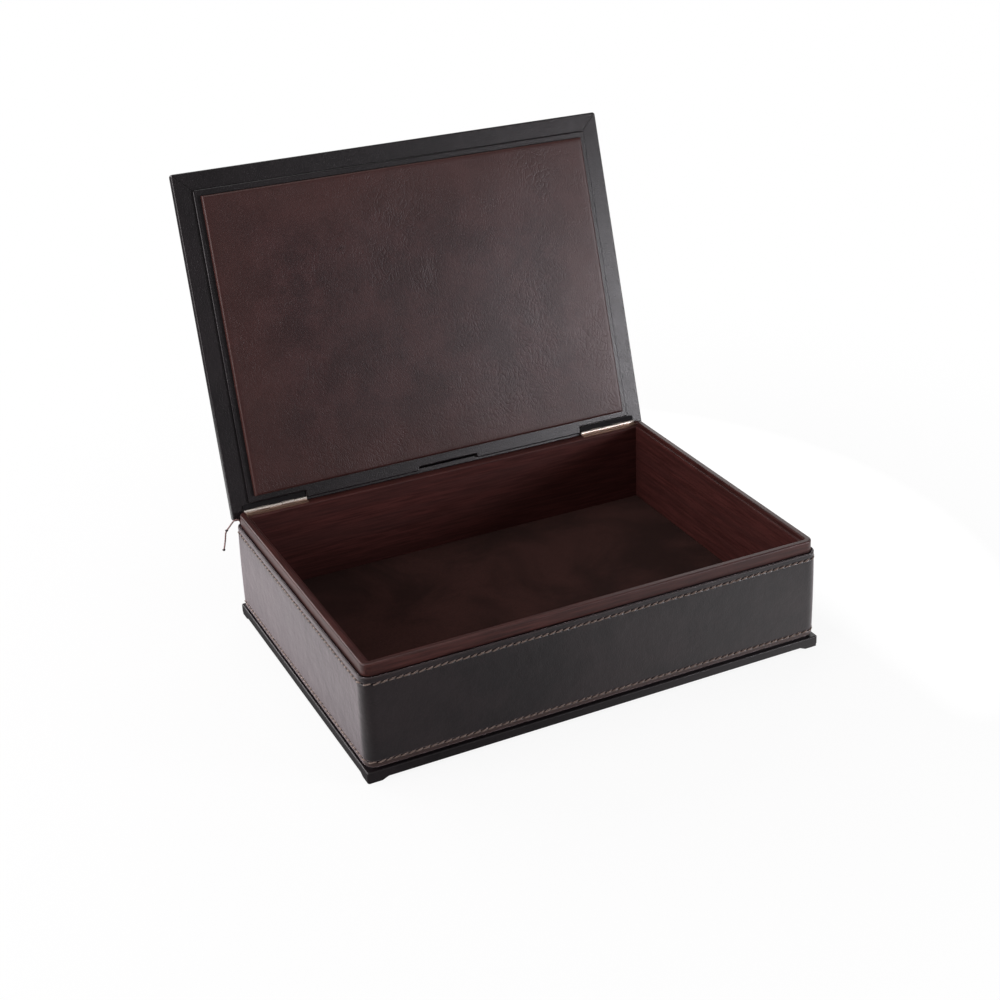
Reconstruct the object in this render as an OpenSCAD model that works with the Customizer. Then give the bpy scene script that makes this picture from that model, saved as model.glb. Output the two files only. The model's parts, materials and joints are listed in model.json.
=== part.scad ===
// Leather-covered stationery box with a padded, book-like lid, shown open.
// The frame stands under the middle of the open box: +Z is up, the front faces -Y.

/* [Wooden box] */
// Length of the wooden box from side to side
box_l = 330; // [240:5:420]
// Depth of the wooden box from front to back
box_w = 240; // [180:5:320]
// Height of the rim above the table
box_h = 82; // [62:1:120]
// Thickness of the outer walls
wall_t = 4.7; // [4.3:0.1:7]
// Thickness of the thin panels that line the walls
liner_t = 2.5; // [1.5:0.1:5]
// How far the lining panels stop below the rim
rebate_d = 2.5; // [2.3:0.1:4]
// Radius of the walls' inside corners
inner_corner_r = 1.3; // [0.6:0.1:3]
// Rounding of the rim's edges
rim_round = 1.2; // [0.4:0.1:1.8]

/* [Bottom] */
// Thickness of the wooden bottom board
bottom_t = 9; // [5:0.5:12]
// Thickness of the card on the bottom board
floor_card_t = 2.2; // [1:0.1:4]
// Thickness of the lining glued on the card
lining_t = 0.9; // [0.5:0.1:2]
// Play round the loose floor card
floor_play = 0.3; // [0.1:0.1:1]

/* [Plinth and feet] */
// Thickness of the covered plinth
plinth_t = 6; // [4:0.5:12]
// How far the plinth stands out past the wooden walls
plinth_over = 3.1; // [2.5:0.1:8]
// Rounding of the plinth's upper edges
plinth_round = 0.9; // [0.3:0.1:1.4]
// Rounding of the plinth's lower edges, which the feet stand flush with
plinth_low_round = 0.3; // [0.1:0.1:0.8]
// Height of the feet
foot_h = 1.9; // [1:0.1:6]
// Length of each foot along both sides of its corner
foot_l = 9.5; // [8:0.5:20]
// Length over which a foot's inner ends slope away
foot_slope = 4.5; // [1:0.5:8]
// Thickness of the felt under the plinth
felt_t = 1.2; // [0.6:0.1:1.8]

/* [Leather] */
// Thickness of the leather band round the walls
band_t = 2.2; // [1.2:0.1:4]
// Shadow gap between the band and the plinth
band_gap = 1.8; // [0.5:0.1:4]
// Height of bare wood above the band
band_reveal = 8.4; // [6:0.2:20]
// Rounding of the band's rolled edges
band_round = 0.9; // [0.2:0.1:1.1]
// Width of the butt seam in the band at the back
seam_w = 0.4; // [0.2:0.1:1]
// Thickness of the cover leather on plinth, lid, step and pad
skin_t = 0.8; // [0.4:0.1:1.2]
// Width of the leather turned in under the plinth and inside the lid
turn_in = 22; // [18:1:30]
// Width of the mitre joints in the lid's turned-in leather
mitre_w = 0.25; // [0.1:0.05:0.6]

/* [Lid] */
// Thickness of the covered lid board
lid_t = 6.6; // [4:0.2:12]
// How far the lid stands out past the walls at each side
lid_over = 3.4; // [1:0.2:8]
// How far the lid stands out past the front wall
lid_front_over = 3.6; // [1:0.2:8]
// Gap between the closed lid and the rim
lid_gap = 0.3; // [0.2:0.1:0.8]
// Angle at which the open lid comes to rest against the back wall
lid_open = 106.7; // [102:0.1:120]
// Gap left between the open lid and the back wall
stop_gap = 0.4; // [0.2:0.1:0.6]
// Radius of the lid's corners seen from above
lid_corner_r = 2; // [1.5:0.1:6]
// Rounding of the lid's edges
lid_round = 1.1; // [0.4:0.1:1.5]

/* [Lid lining] */
// Width of the bare border round the step on the lid's inside
border_w = 13; // [11:0.5:17]
// Thickness of the covered step plate
step_t = 2; // [1.4:0.1:2.2]
// Rounding of the step plate's edges
step_round = 0.9; // [0.2:0.1:1]
// Distance from the hinge axis to the step plate's rear edge
step_rear = 0.2; // [0.2:0.1:3]
// Width of the notch in the middle of the step plate's rear edge
notch_w = 47.4; // [20:1:100]
// Depth of that notch
notch_d = 3; // [1:0.1:4.5]
// Width of step left showing round the pad
step_margin = 4.7; // [2:0.1:12]
// Distance from the hinge axis to the pad's rear edge
pad_rear = 10; // [10:0.5:30]
// Height of the pad above the step at its edges
pad_h = 3.6; // [3.4:0.1:8]
// Extra height of the pad in its middle
pad_crown = 0.8; // [0:0.1:3]
// Rounding of the pad's edges
pad_round = 1.8; // [1.3:0.1:2]
// Thickness of the card under the pad's foam
pad_card_t = 1.2; // [0.6:0.1:1.4]
// Thickness of the card inside the step plate
step_card_t = 1.2; // [0.5:0.1:1.3]

/* [Hinges] */
// Length of each hinge
hinge_l = 47; // [30:1:70]
// Gap between a hinge and the side wall beside it
hinge_end_gap = 0.3; // [0.2:0.1:4]
// How far the hinge axis lies behind the back wall
axis_out = 0.6; // [0.4:0.1:1]
// Reach of a leaf from the hinge axis
leaf_reach = 4.9; // [4.4:0.1:5.4]
// Thickness of a leaf
leaf_t = 0.9; // [0.6:0.05:1.05]
// Clearance between the barrel and what it turns beside
barrel_clear = 0.15; // [0.1:0.01:0.3]
// Radius of the hinge pin
pin_r = 0.6; // [0.4:0.05:0.7]
// Radial play of the pin in the knuckles
pin_play = 0.05; // [0.02:0.01:0.1]
// Gap between neighbouring knuckles
knuckle_gap = 0.3; // [0.1:0.05:0.6]
// Radius of the screws' shanks
screw_r = 0.6; // [0.4:0.05:0.7]
// Radius of the screws' countersunk heads
screw_head_r = 1.1; // [1:0.05:1.2]
// Length of the screws
screw_l = 4.6; // [3:0.1:6]
// Play round the screws
screw_play = 0.03; // [0.02:0.01:0.1]

/* [Hidden] */
$fn = 48;

// A cutter runs this far past what it cuts
cut = 1;
knuckles = 5;
screws = 3;

// Heights above the table
plinth_z = foot_h;
wall_z = plinth_z + plinth_t;
liner_z = wall_z + bottom_t;
card_z = liner_z;
lining_z = card_z + floor_card_t;
liner_top = box_h - rebate_d;
band_z = wall_z + band_gap;
band_h = box_h - band_reveal - band_z;

// Plan sizes
corner_r = wall_t + inner_corner_r;
hollow_l = box_l - 2 * wall_t;
hollow_w = box_w - 2 * wall_t;
inside_l = hollow_l - 2 * liner_t;
inside_w = hollow_w - 2 * liner_t;
plinth_l = box_l + 2 * plinth_over;
plinth_w = box_w + 2 * plinth_over;
plinth_corner_r = 1.5;

// The hinge axis lies midway between the lowered back wall and the closed lid
leaf_out = (rebate_d + lid_gap) / 2;
axis_y = box_w / 2 + axis_out;
axis_z = liner_top + leaf_out;
barrel_r = leaf_out - barrel_clear;
hinge_x = hollow_l / 2 - hinge_end_gap - hinge_l / 2;
knuckle_l = (hinge_l - (knuckles - 1) * knuckle_gap) / knuckles;
screw_y = (barrel_r + barrel_clear + leaf_reach) / 2;
screw_pitch = hinge_l / screws;
head_h = screw_head_r - screw_r;

// The lid, measured from the hinge axis: its rear edge meets the back wall at lid_open
lid_l = box_l + 2 * lid_over;
lid_front = box_w + axis_out + lid_front_over;
lid_rear = (stop_gap - axis_out - leaf_out * sin(lid_open)) / cos(lid_open);
lid_w = lid_front + lid_rear;

// The step plate and the pad on the inside of the lid
step_l = lid_l - 2 * border_w;
step_front = lid_front - border_w;
step_w = step_front - step_rear;
leaf_play = 0.4;
step_corner_r = 1.5;
pad_l = step_l - 2 * step_margin;
pad_front = step_front - step_margin;
pad_w = pad_front - pad_rear;

// The open lid's farthest point behind the box puts the frame under the middle of it all
back_y = axis_y + lid_round - (lid_front - lid_round) * cos(lid_open)
    + (leaf_out + lid_t - lid_round) * sin(lid_open);
box_y = (plinth_w / 2 - back_y) / 2;

// The loose thread leaves the band at the rounded back left corner and hangs beside it
thread_r = 0.6;
knot_r = 1.15;
thread_sides = 8;
thread_path = [
    [-164, 119, 73.6],
    [-164, 118.9, 74.8],
    [-164.4, 118.7, 76],
    [-165.4, 118.7, 77],
    [-166.9, 118.8, 77.4],
    [-168.6, 119, 76.9],
    [-170, 119.2, 75.5],
    [-171.4, 119.4, 73.8],
    [-172.8, 119.6, 72.1],
    [-174.2, 119.8, 70.4],
    [-175.1, 119.9, 68.4],
    [-175.5, 120, 66.2],
    [-175.8, 120, 64],
    [-176.2, 120, 61.8],
    [-176.7, 119.9, 59.6],
    [-177.2, 119.8, 57.6],
    [-177.7, 119.8, 55.8]
];
mid_knot = 9;

// Colours seen in the photograph
wood_dark = [0.26, 0.15, 0.14];
leather_black = [0.17, 0.16, 0.18];
leather_brown = [0.30, 0.20, 0.20];
card_grey = [0.55, 0.52, 0.48];
metal_bright = [0.85, 0.85, 0.86];
thread_dark = [0.20, 0.12, 0.12];

// Places the box: its middle stands box_y from the frame's origin
module at_box() {
    translate([0, box_y, 0]) children();
}

// Places the lid: drawn closed round the hinge axis, turned back to lid_open
module at_lid() {
    translate([0, box_y + axis_y, axis_z]) rotate([-lid_open, 0, 0]) children();
}

// Turns the lid's drawing over: +Y runs from the axis to the front, +Z into the box
module lid_inside() {
    translate([0, 0, leaf_out]) rotate([180, 0, 0]) children();
}

// Carries a section along X with its own X pointing to +Y and its own Y up
module along_x(length) {
    translate([-length / 2, 0, 0]) rotate([90, 0, 90]) linear_extrude(length) children();
}

// A flat block, standing on z = 0, with upright corners of radius r
module plate(l, w, h, r) {
    translate([-l / 2 + r, -w / 2, 0]) cube([l - 2 * r, w, h]);
    translate([-l / 2, -w / 2 + r, 0]) cube([l, w - 2 * r, h]);
    for (x = [-1, 1])
        for (y = [-1, 1])
            translate([x * (l / 2 - r), y * (w / 2 - r), 0]) cylinder(h, r, r);
}

// Half of a slab's edge section: a square edge rounded at its foot and at its top
module edge_section(r, h, low, high) {
    intersection() {
        square([r, h]);
        union() {
            square([r - low, h - high]);
            translate([0, low]) square([r, h - low - high]);
            translate([0, low]) square([r - high, h - low]);
            if (low > 0)
                translate([r - low, low]) circle(low);
            if (high > 0)
                translate([r - high, h - high]) circle(high);
        }
    }
}

// Carries an edge section round a rectangle with corners of radius r
module around(l, w, r) {
    for (side = [0, 1]) {
        rotate([0, 0, 180 * side]) translate([0, w / 2 - r, 0]) along_x(l - 2 * r) children();
        rotate([0, 0, 90 + 180 * side]) translate([0, l / 2 - r, 0]) along_x(w - 2 * r) children();
    }
    for (x = [0, 1])
        for (y = [0, 1])
            mirror([x, 0, 0]) mirror([0, y, 0])
                translate([l / 2 - r, w / 2 - r, 0]) rotate_extrude(angle = 90) children();
}

// A slab with rounded long edges, standing on z = 0
module slab(l, w, h, r, low, high) {
    translate([-l / 2 + r, -w / 2 + r, 0]) cube([l - 2 * r, w - 2 * r, h]);
    around(l, w, r) edge_section(r, h, low, high);
}

// Section of a wall: its rim is rounded on both edges, its outside lies at corner_r
module wall_section() {
    h = box_h - wall_z;
    translate([inner_corner_r, 0]) {
        square([wall_t, h - rim_round]);
        translate([rim_round, 0]) square([wall_t - 2 * rim_round, h]);
        for (x = [rim_round, wall_t - rim_round])
            translate([x, h - rim_round]) circle(rim_round);
    }
}

// One wall with its outside at +Y: a straight run and its corners, cut at the mitres
module wall(l, w) {
    run = l - 2 * corner_r;
    reach = corner_r + cut;
    translate([0, w / 2 - corner_r, wall_z]) intersection() {
        union() {
            along_x(run) wall_section();
            for (side = [0, 1])
                mirror([side, 0, 0]) translate([run / 2, 0, 0]) rotate_extrude(angle = 90) wall_section();
        }
        translate([0, 0, -cut]) linear_extrude(box_h) polygon([
            [-run / 2 - reach, reach],
            [run / 2 + reach, reach],
            [run / 2 - reach, -reach],
            [reach - run / 2, -reach]
        ]);
    }
}

module front_wall() {
    color(wood_dark) at_box() rotate([0, 0, 180]) wall(box_l, box_w);
}

// The back wall is lowered between the corners, for the hinges and the lid's step
module back_wall() {
    color(wood_dark) at_box() difference() {
        wall(box_l, box_w);
        translate([-hollow_l / 2, box_w / 2 - corner_r - cut, liner_top])
            cube([hollow_l, corner_r + 2 * cut, rebate_d + cut]);
        for (side = [-1, 1])
            translate([side * hinge_x, axis_y, liner_top]) screw_places() pilot_hole();
    }
}

module left_wall() {
    color(wood_dark) at_box() rotate([0, 0, 90]) wall(box_w, box_l);
}

module right_wall() {
    color(wood_dark) at_box() rotate([0, 0, -90]) wall(box_w, box_l);
}

// Section of a lining panel: its inner top edge is rounded
module liner_section() {
    h = liner_top - liner_z;
    r = liner_t / 3;
    square([liner_t, h - r]);
    translate([r, 0]) square([liner_t - r, h]);
    translate([r, h - r]) circle(r);
}

// One lining panel with its back to +Y, mitred at both ends
module liner(l, w) {
    translate([0, 0, liner_z]) intersection() {
        translate([0, w / 2 - liner_t, 0]) along_x(l) liner_section();
        linear_extrude(liner_top - liner_z) polygon([
            [-l / 2, w / 2],
            [l / 2, w / 2],
            [l / 2 - liner_t, w / 2 - liner_t],
            [-l / 2 + liner_t, w / 2 - liner_t]
        ]);
        plate(l, w, liner_top - liner_z, inner_corner_r);
    }
}

module front_liner() {
    color(wood_dark) at_box() rotate([0, 0, 180]) liner(hollow_l, hollow_w);
}

module back_liner() {
    color(wood_dark) at_box() liner(hollow_l, hollow_w);
}

module left_liner() {
    color(wood_dark) at_box() rotate([0, 0, 90]) liner(hollow_w, hollow_l);
}

module right_liner() {
    color(wood_dark) at_box() rotate([0, 0, -90]) liner(hollow_w, hollow_l);
}

// The board lies on the plinth inside the walls and carries the lining panels
module bottom_board() {
    color(wood_dark) at_box() translate([0, 0, wall_z])
        plate(hollow_l, hollow_w, bottom_t, inner_corner_r);
}

module floor_card() {
    l = inside_l - 2 * floor_play;
    w = inside_w - 2 * floor_play;
    color(card_grey) at_box() translate([-l / 2, -w / 2, card_z]) cube([l, w, floor_card_t]);
}

module floor_lining() {
    l = inside_l - 2 * floor_play;
    w = inside_w - 2 * floor_play;
    color(wood_dark) at_box() translate([-l / 2, -w / 2, lining_z]) cube([l, w, lining_t]);
}

// Section of the band: both edges are rolled on the outside
module band_section() {
    translate([corner_r, 0]) {
        square([band_t - band_round, band_h]);
        translate([0, band_round]) square([band_t, band_h - 2 * band_round]);
        for (z = [band_round, band_h - band_round])
            translate([band_t - band_round, z]) circle(band_round);
    }
}

// The band runs round all four walls and meets itself in a butt seam at the back
module leather_band() {
    l = box_l + 2 * band_t;
    w = box_w + 2 * band_t;
    color(leather_black) at_box() translate([0, 0, band_z]) difference() {
        around(l, w, corner_r + band_t) band_section();
        translate([-seam_w / 2, box_w / 2 - cut, -cut]) cube([seam_w, band_t + 2 * cut, band_h + 2 * cut]);
    }
}

// The plinth's wooden core, without its leather
module plinth_core() {
    translate([0, 0, skin_t])
        plate(plinth_l - 2 * skin_t, plinth_w - 2 * skin_t, plinth_t - 2 * skin_t, plinth_corner_r - skin_t / 2);
}

module plinth_board() {
    color(wood_dark) at_box() translate([0, 0, plinth_z]) plinth_core();
}

// Leather over the top and the edges, turned in underneath
module plinth_leather() {
    l = plinth_l - 2 * turn_in;
    w = plinth_w - 2 * turn_in;
    color(leather_black) at_box() translate([0, 0, plinth_z]) difference() {
        slab(plinth_l, plinth_w, plinth_t, plinth_corner_r, plinth_low_round, plinth_round);
        plinth_core();
        translate([-l / 2, -w / 2, -cut]) cube([l, w, 2 * cut]);
    }
}

module base_felt() {
    l = plinth_l - 2 * (turn_in + floor_play);
    w = plinth_w - 2 * (turn_in + floor_play);
    color(card_grey) at_box() translate([-l / 2, -w / 2, plinth_z + skin_t - felt_t])
        cube([l, w, felt_t]);
}

// Side view of a foot, from the corner inward: its inner end slopes up to the plinth
module foot_side() {
    polygon([[0, 0], [foot_l, 0], [foot_l + foot_slope, foot_h], [0, foot_h]]);
}

// A foot in its corner, sloped at both inner ends; x and y say which corner
module foot(x, y) {
    l = plinth_l - 2 * plinth_low_round;
    w = plinth_w - 2 * plinth_low_round;
    reach = foot_l + foot_slope;
    color(leather_black) at_box()
        mirror([x > 0 ? 1 : 0, 0, 0]) mirror([0, y > 0 ? 1 : 0, 0]) intersection() {
            translate([-l / 2, reach - w / 2, 0]) rotate([90, 0, 0]) linear_extrude(reach) foot_side();
            translate([-l / 2, -w / 2, 0]) rotate([90, 0, 90]) linear_extrude(reach) foot_side();
            plate(l, w, foot_h, plinth_corner_r - plinth_low_round);
        }
}

module foot_front_left() { foot(-1, -1); }
module foot_front_right() { foot(1, -1); }
module foot_back_left() { foot(-1, 1); }
module foot_back_right() { foot(1, 1); }

// The places of a leaf's screws, in front of the hinge axis
module screw_places() {
    for (k = [0 : screws - 1])
        translate([(k - (screws - 1) / 2) * screw_pitch, -screw_y, 0]) children();
}

// Hole for a screw, downward from z = 0, with some room below its point
module pilot_hole() {
    translate([0, 0, -screw_l]) cylinder(screw_l + cut, screw_r + screw_play, screw_r + screw_play, $fn = 24);
}

// Countersunk hole through a leaf whose top is z = 0
module leaf_hole() {
    translate([0, 0, -leaf_t - cut]) cylinder(leaf_t + 2 * cut, screw_r + screw_play, screw_r + screw_play, $fn = 24);
    translate([0, 0, -head_h]) cylinder(head_h + screw_play, screw_r + screw_play, screw_head_r + 2 * screw_play, $fn = 24);
}

// Countersunk screw with its head's face at z = 0
module screw() {
    translate([0, 0, -head_h]) cylinder(head_h, screw_r, screw_head_r, $fn = 24);
    translate([0, 0, leaf_t - screw_l]) cylinder(screw_l - leaf_t - head_h + 0.01, screw_r, screw_r, $fn = 24);
}

// Places of a leaf's knuckles along the hinge: every second one, from first
module knuckle_places(first) {
    for (k = [first : 2 : knuckles - 1])
        translate([k * (knuckle_l + knuckle_gap) - hinge_l / 2, 0, 0]) children();
}

module barrel(length, r) {
    rotate([0, 90, 0]) cylinder(length, r, r);
}

// One leaf, lying below the axis and pointing to -Y, with its knuckles on the axis
module leaf(first) {
    room = barrel_r + barrel_clear;
    difference() {
        union() {
            translate([-hinge_l / 2, -leaf_reach, -leaf_out])
                cube([hinge_l, leaf_reach - barrel_r / 2, leaf_t]);
            knuckle_places(first) barrel(knuckle_l, barrel_r);
        }
        knuckle_places(1 - first) translate([-knuckle_gap, -room, -leaf_out - cut])
            cube([knuckle_l + 2 * knuckle_gap, room, leaf_t + 2 * cut]);
        translate([-hinge_l / 2 - cut, 0, 0]) barrel(hinge_l + 2 * cut, pin_r + pin_play);
        translate([0, 0, leaf_t - leaf_out]) screw_places() leaf_hole();
    }
}

// The box's leaf lies on the lowered back wall
module leaf_box(side) {
    color(metal_bright) at_box() translate([side * hinge_x, axis_y, axis_z]) leaf(0);
}

// The lid's leaf is the same shape turned over, with the knuckles between
module leaf_lid(side) {
    color(metal_bright) at_lid() translate([side * hinge_x, 0, 0]) mirror([0, 0, 1]) leaf(1);
}

module hinge_leaf_box_left() { leaf_box(-1); }
module hinge_leaf_box_right() { leaf_box(1); }
module hinge_leaf_lid_left() { leaf_lid(-1); }
module hinge_leaf_lid_right() { leaf_lid(1); }

module pin(side) {
    color(metal_bright) at_box() translate([side * hinge_x - hinge_l / 2, axis_y, axis_z]) barrel(hinge_l, pin_r);
}

module hinge_pin_left() { pin(-1); }
module hinge_pin_right() { pin(1); }

module hinge_screws_box() {
    color(metal_bright) at_box() for (side = [-1, 1])
        translate([side * hinge_x, axis_y, liner_top + leaf_t]) screw_places() screw();
}

module hinge_screws_lid() {
    color(metal_bright) at_lid() for (side = [-1, 1])
        translate([side * hinge_x, 0, leaf_out - leaf_t]) mirror([0, 0, 1]) screw_places() screw();
}

// Room for the lid's screws, drawn round the hinge axis
module lid_pilot_holes() {
    for (side = [-1, 1])
        translate([side * hinge_x, 0, leaf_out]) mirror([0, 0, 1]) screw_places() pilot_hole();
}

// The lid's board, without its leather
module lid_core() {
    translate([0, (lid_rear - lid_front) / 2, leaf_out + skin_t])
        plate(lid_l - 2 * skin_t, lid_w - 2 * skin_t, lid_t - 2 * skin_t, lid_corner_r - skin_t);
}

module lid_board() {
    color(card_grey) at_lid() difference() {
        lid_core();
        lid_pilot_holes();
    }
}

// Leather over the outside and the edges, turned in and mitred at the four corners
module lid_cover() {
    l = lid_l - 2 * turn_in;
    w = lid_w - 2 * turn_in;
    middle = (lid_rear - lid_front) / 2;
    color(leather_black) at_lid() difference() {
        translate([0, middle, leaf_out]) slab(lid_l, lid_w, lid_t, lid_corner_r, lid_round, lid_round);
        lid_core();
        lid_pilot_holes();
        translate([-l / 2, middle - w / 2, leaf_out - cut]) cube([l, w, cut + skin_t]);
        for (x = [-1, 1])
            for (y = [-1, 1])
                translate([x * l / 2, middle + y * w / 2, leaf_out - cut])
                    rotate([0, 0, atan2(y, x)])
                        translate([-cut, -mitre_w / 2, 0]) cube([2 * turn_in, mitre_w, cut + skin_t / 2]);
    }
}

// Card that fills the lid's inside between the turned-in leather
module lid_infill() {
    l = lid_l - 2 * (turn_in + floor_play);
    w = lid_w - 2 * (turn_in + floor_play);
    color(card_grey) at_lid() translate([-l / 2, (lid_rear - lid_front - w) / 2, leaf_out])
        cube([l, w, skin_t]);
}

// What the hinges and the middle notch leave of the step plate; inset shrinks it for the card
module step_cuts(inset) {
    free = leaf_reach + leaf_play + inset;
    inner = hinge_x - hinge_l / 2 - leaf_play - inset;
    r = notch_d / 3;
    half = notch_w / 2 + inset;
    depth = step_rear + notch_d + inset;
    for (side = [0, 1])
        mirror([side, 0, 0]) translate([inner, -cut, -cut]) cube([step_l, free + cut, step_t + 2 * cut]);
    translate([-half, -cut, -cut]) cube([2 * half, cut + depth - r, step_t + 2 * cut]);
    translate([-half + r, -cut, -cut]) cube([2 * (half - r), cut + depth, step_t + 2 * cut]);
    for (side = [-1, 1])
        translate([side * (half - r), depth - r, -cut]) cylinder(step_t + 2 * cut, r, r);
}

// The step plate's card, drawn inside the lid
module step_core() {
    difference() {
        translate([0, step_rear + step_w / 2, 0])
            plate(step_l - 2 * skin_t, step_w - 2 * skin_t, step_card_t, step_corner_r - skin_t / 2);
        step_cuts(skin_t);
    }
}

module step_card() {
    color(card_grey) at_lid() lid_inside() step_core();
}

module step_leather() {
    color(leather_black) at_lid() lid_inside() difference() {
        translate([0, step_rear + step_w / 2, 0]) slab(step_l, step_w, step_t, step_corner_r, 0, step_round);
        step_cuts(0);
        step_core();
    }
}

// Cells of the pad's surface between its rounded edges, along X and along Y
pad_cells = [14, 10];
// Distances from the middle at which the pad's surface has points
function stations(half, r, cells) = concat(
    [for (a = [0 : 30 : 60]) r * (1 - cos(a)) - half],
    [for (k = [0 : cells]) (r - half) + k * 2 * (half - r) / cells],
    [for (a = [60 : -30 : 0]) half - r * (1 - cos(a))]
);

// Height of the pad's rounded edge at a distance d from the edge, as a share of its full height
function edge_rise(d, r, h) = d >= r ? 1 : (h - r + sqrt(max(0, r * r - (r - d) * (r - d)))) / h;

// One surface of the pad: a rounded edge all round and a low crown in the middle
function pad_surface(inset) = let (
    hx = pad_l / 2 - inset,
    hy = pad_w / 2 - inset,
    h = pad_h - inset,
    r = pad_round - inset,
    xs = stations(hx, r, pad_cells[0]),
    ys = stations(hy, r, pad_cells[1])
) [for (x = xs) for (y = ys) [
    x, y,
    h * min(edge_rise(hx - abs(x), r, h), edge_rise(hy - abs(y), r, h))
        + pad_crown * (1 - pow(x / hx, 2)) * (1 - pow(y / hy, 2))
]];

pad_nx = len(stations(1, 0, pad_cells[0]));
pad_ny = len(stations(1, 0, pad_cells[1]));
pad_n = pad_nx * pad_ny;
// Numbers of the surface's points round its outline
pad_rim = concat(
    [for (i = [0 : pad_nx - 2]) i * pad_ny],
    [for (j = [0 : pad_ny - 2]) (pad_nx - 1) * pad_ny + j],
    [for (i = [pad_nx - 1 : -1 : 1]) i * pad_ny + pad_ny - 1],
    [for (j = [pad_ny - 1 : -1 : 1]) j]
);
pad_m = len(pad_rim);

// Triangles of a surface whose points start at number o; up says which way they face
function surface_faces(o, up) = [
    for (i = [0 : pad_nx - 2]) for (j = [0 : pad_ny - 2]) let (
        a = o + i * pad_ny + j,
        b = a + pad_ny
    ) each (up ? [[a, a + 1, b + 1], [a, b + 1, b]] : [[a, b + 1, a + 1], [a, b, b + 1]])
];

// Triangles of a strip between two rings of point numbers
function strip_faces(top, low) = [
    for (k = [0 : len(top) - 1]) let (n = (k + 1) % len(top))
        each [[top[k], top[n], low[n]], [top[k], low[n], low[k]]]
];

function ring_at(points, z) = [for (k = pad_rim) [points[k][0], points[k][1], z]];

module at_pad() {
    at_lid() lid_inside() translate([0, pad_rear + pad_w / 2, step_t]) children();
}

// The pad's leather is a skin over foam and card, open towards the step plate
module pad_leather() {
    outer = pad_surface(0);
    inner = pad_surface(skin_t);
    outer_rim = pad_rim;
    inner_rim = [for (k = pad_rim) k + pad_n];
    outer_foot = [for (k = [0 : pad_m - 1]) 2 * pad_n + k];
    inner_foot = [for (k = [0 : pad_m - 1]) 2 * pad_n + pad_m + k];
    color(leather_brown) at_pad() polyhedron(
        points = concat(outer, inner, ring_at(outer, 0), ring_at(inner, 0)),
        faces = concat(
            surface_faces(0, true),
            surface_faces(pad_n, false),
            strip_faces(outer_rim, outer_foot),
            strip_faces(inner_foot, inner_rim),
            strip_faces(outer_foot, inner_foot)
        )
    );
}

// The foam fills the skin down to its card
module pad_foam() {
    inner = pad_surface(skin_t);
    flat = [for (p = inner) [p[0], p[1], pad_card_t]];
    color(card_grey) at_pad() polyhedron(
        points = concat(inner, flat),
        faces = concat(
            surface_faces(0, true),
            surface_faces(pad_n, false),
            strip_faces(pad_rim, [for (k = pad_rim) k + pad_n])
        )
    );
}

module pad_card() {
    l = pad_l - 2 * skin_t;
    w = pad_w - 2 * skin_t;
    color(card_grey) at_pad() translate([-l / 2, -w / 2, 0]) cube([l, w, pad_card_t]);
}

// Points round the thread at one place of its route
function thread_dir(k) = let (
    a = thread_path[max(0, k - 1)],
    b = thread_path[min(len(thread_path) - 1, k + 1)]
) (b - a) / norm(b - a);
function thread_ring(k) = let (
    t = k == 0 ? [0, 0, 1] : thread_dir(k),
    s = cross(t, [0, 1, 0]),
    u = s / norm(s),
    v = cross(t, u)
) [for (a = [0 : thread_sides - 1])
    thread_path[k] + thread_r * (cos(a * 360 / thread_sides) * u + sin(a * 360 / thread_sides) * v)];

// The thread is a tube carried along its route, closed at both ends
module tag_thread() {
    n = thread_sides;
    rings = len(thread_path);
    low = [for (a = [0 : n - 1]) a];
    color(thread_dark) at_box() polyhedron(
        points = [for (k = [0 : rings - 1]) each thread_ring(k)],
        faces = concat(
            [low],
            [for (k = [0 : rings - 2]) for (a = [0 : n - 1]) let (b = (a + 1) % n, o = k * n)
                each [[o + a, o + n + a, o + n + b], [o + a, o + n + b, o + b]]],
            [[for (a = [n - 1 : -1 : 0]) (rings - 1) * n + a]]
        )
    );
}

module thread_knots() {
    color(thread_dark) at_box() for (k = [mid_knot, len(thread_path) - 1])
        translate(thread_path[k]) sphere(knot_r, $fn = 24);
}

front_wall();
back_wall();
left_wall();
right_wall();
front_liner();
back_liner();
left_liner();
right_liner();
bottom_board();
floor_card();
floor_lining();
leather_band();
plinth_board();
plinth_leather();
base_felt();
foot_front_left();
foot_front_right();
foot_back_left();
foot_back_right();
hinge_leaf_box_left();
hinge_leaf_box_right();
hinge_pin_left();
hinge_pin_right();
hinge_screws_box();
lid_board();
lid_cover();
lid_infill();
step_card();
step_leather();
pad_card();
pad_foam();
pad_leather();
hinge_leaf_lid_left();
hinge_leaf_lid_right();
hinge_screws_lid();
tag_thread();
thread_knots();
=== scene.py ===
# %% [markdown]
# # A leather-covered box for papers, standing open
# The object is a low wooden box for sheets of paper. A stitched leather band runs
# round its walls, it stands on a thin leather-covered plinth, and its lid is made
# like a book cover with a padded panel inside. The solid parts come ready made
# from the packed model. This lesson adds what the hand and the eye notice: soft
# leather, saddle stitches, grain, sheen and light.

# %% Load the packed model
import json
import math

import bpy
import numpy as np
from mathutils import Matrix, Vector


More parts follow.
